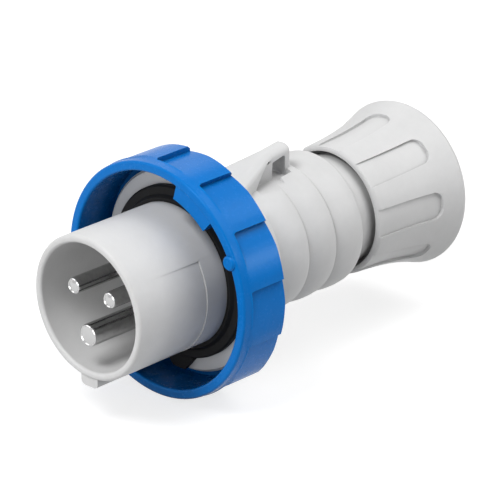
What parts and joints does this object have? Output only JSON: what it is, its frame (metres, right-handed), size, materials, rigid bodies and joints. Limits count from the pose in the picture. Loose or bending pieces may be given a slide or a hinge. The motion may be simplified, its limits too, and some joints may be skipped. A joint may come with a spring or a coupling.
{
  "type": "watertight industrial pin and sleeve plug",
  "caption": "Light grey round power plug with nickel pins in a deep sleeve, a blue bayonet coupling ring, a ribbed handle with a hanging eye and a flared fluted gland nut",
  "frame": {"origin": "centre of the sleeve's front rim, on the plug's long axis", "axes": "+Y runs along the plug from the pins to the cable entry, -Z points to the key, +Z to the hanging eye, +X to the right when the pins are looked at from in front"},
  "size_m": [0.0735, 0.1367, 0.0735],
  "materials": {
    "grey_moulding": "satin light grey thermoplastic",
    "blue_moulding": "semi-gloss blue thermoplastic",
    "black_rubber": "matt black elastomer",
    "nickel": "bright nickel plating",
    "screw_steel": "zinc plated steel",
    "dark_insulator": "dark insulating plastic",
    "pale_moulding": "pale natural plastic"
  },
  "bodies": {
    "plug_body": {"front_housing": "grey_moulding", "face_gasket": "black_rubber", "contact_carrier": "dark_insulator", "pin_line": "nickel", "pin_neutral": "nickel", "pin_earth": "nickel", "terminal_screw_line": "screw_steel", "terminal_screw_neutral": "screw_steel", "terminal_screw_earth": "screw_steel", "wire_guard_line": "screw_steel", "wire_guard_neutral": "screw_steel", "wire_guard_earth": "screw_steel", "carrier_screw_left": "screw_steel", "carrier_screw_right": "screw_steel", "body_seal": "black_rubber", "handle": "grey_moulding", "cable_seal": "black_rubber", "clamp_collet": "pale_moulding"},
    "ring": {"bayonet_ring": "blue_moulding"},
    "gland_washer": {"slip_washer": "screw_steel"},
    "nut": {"gland_nut": "grey_moulding"}
  },
  "joints": [
    {"name": "ring_turn", "type": "hinge", "parent": "plug_body", "child": "ring", "pos_m": [0, 0.036, 0], "axis": [0, -1, 0], "range_deg": [0, 50]},
    {"name": "nut_travel", "type": "slide", "parent": "plug_body", "child": "gland_washer", "axis": [0, 1, 0], "range_m": [0, 0.0091]},
    {"name": "nut_turn", "type": "hinge", "parent": "gland_washer", "child": "nut", "pos_m": [0, 0.118, 0], "axis": [0, 1, 0], "range_deg": [0, 1080]}
  ],
  "couplings": [
    {"joint": "nut_travel", "follows": "nut_turn", "m_per_rad": 0.00047746}
  ]
}
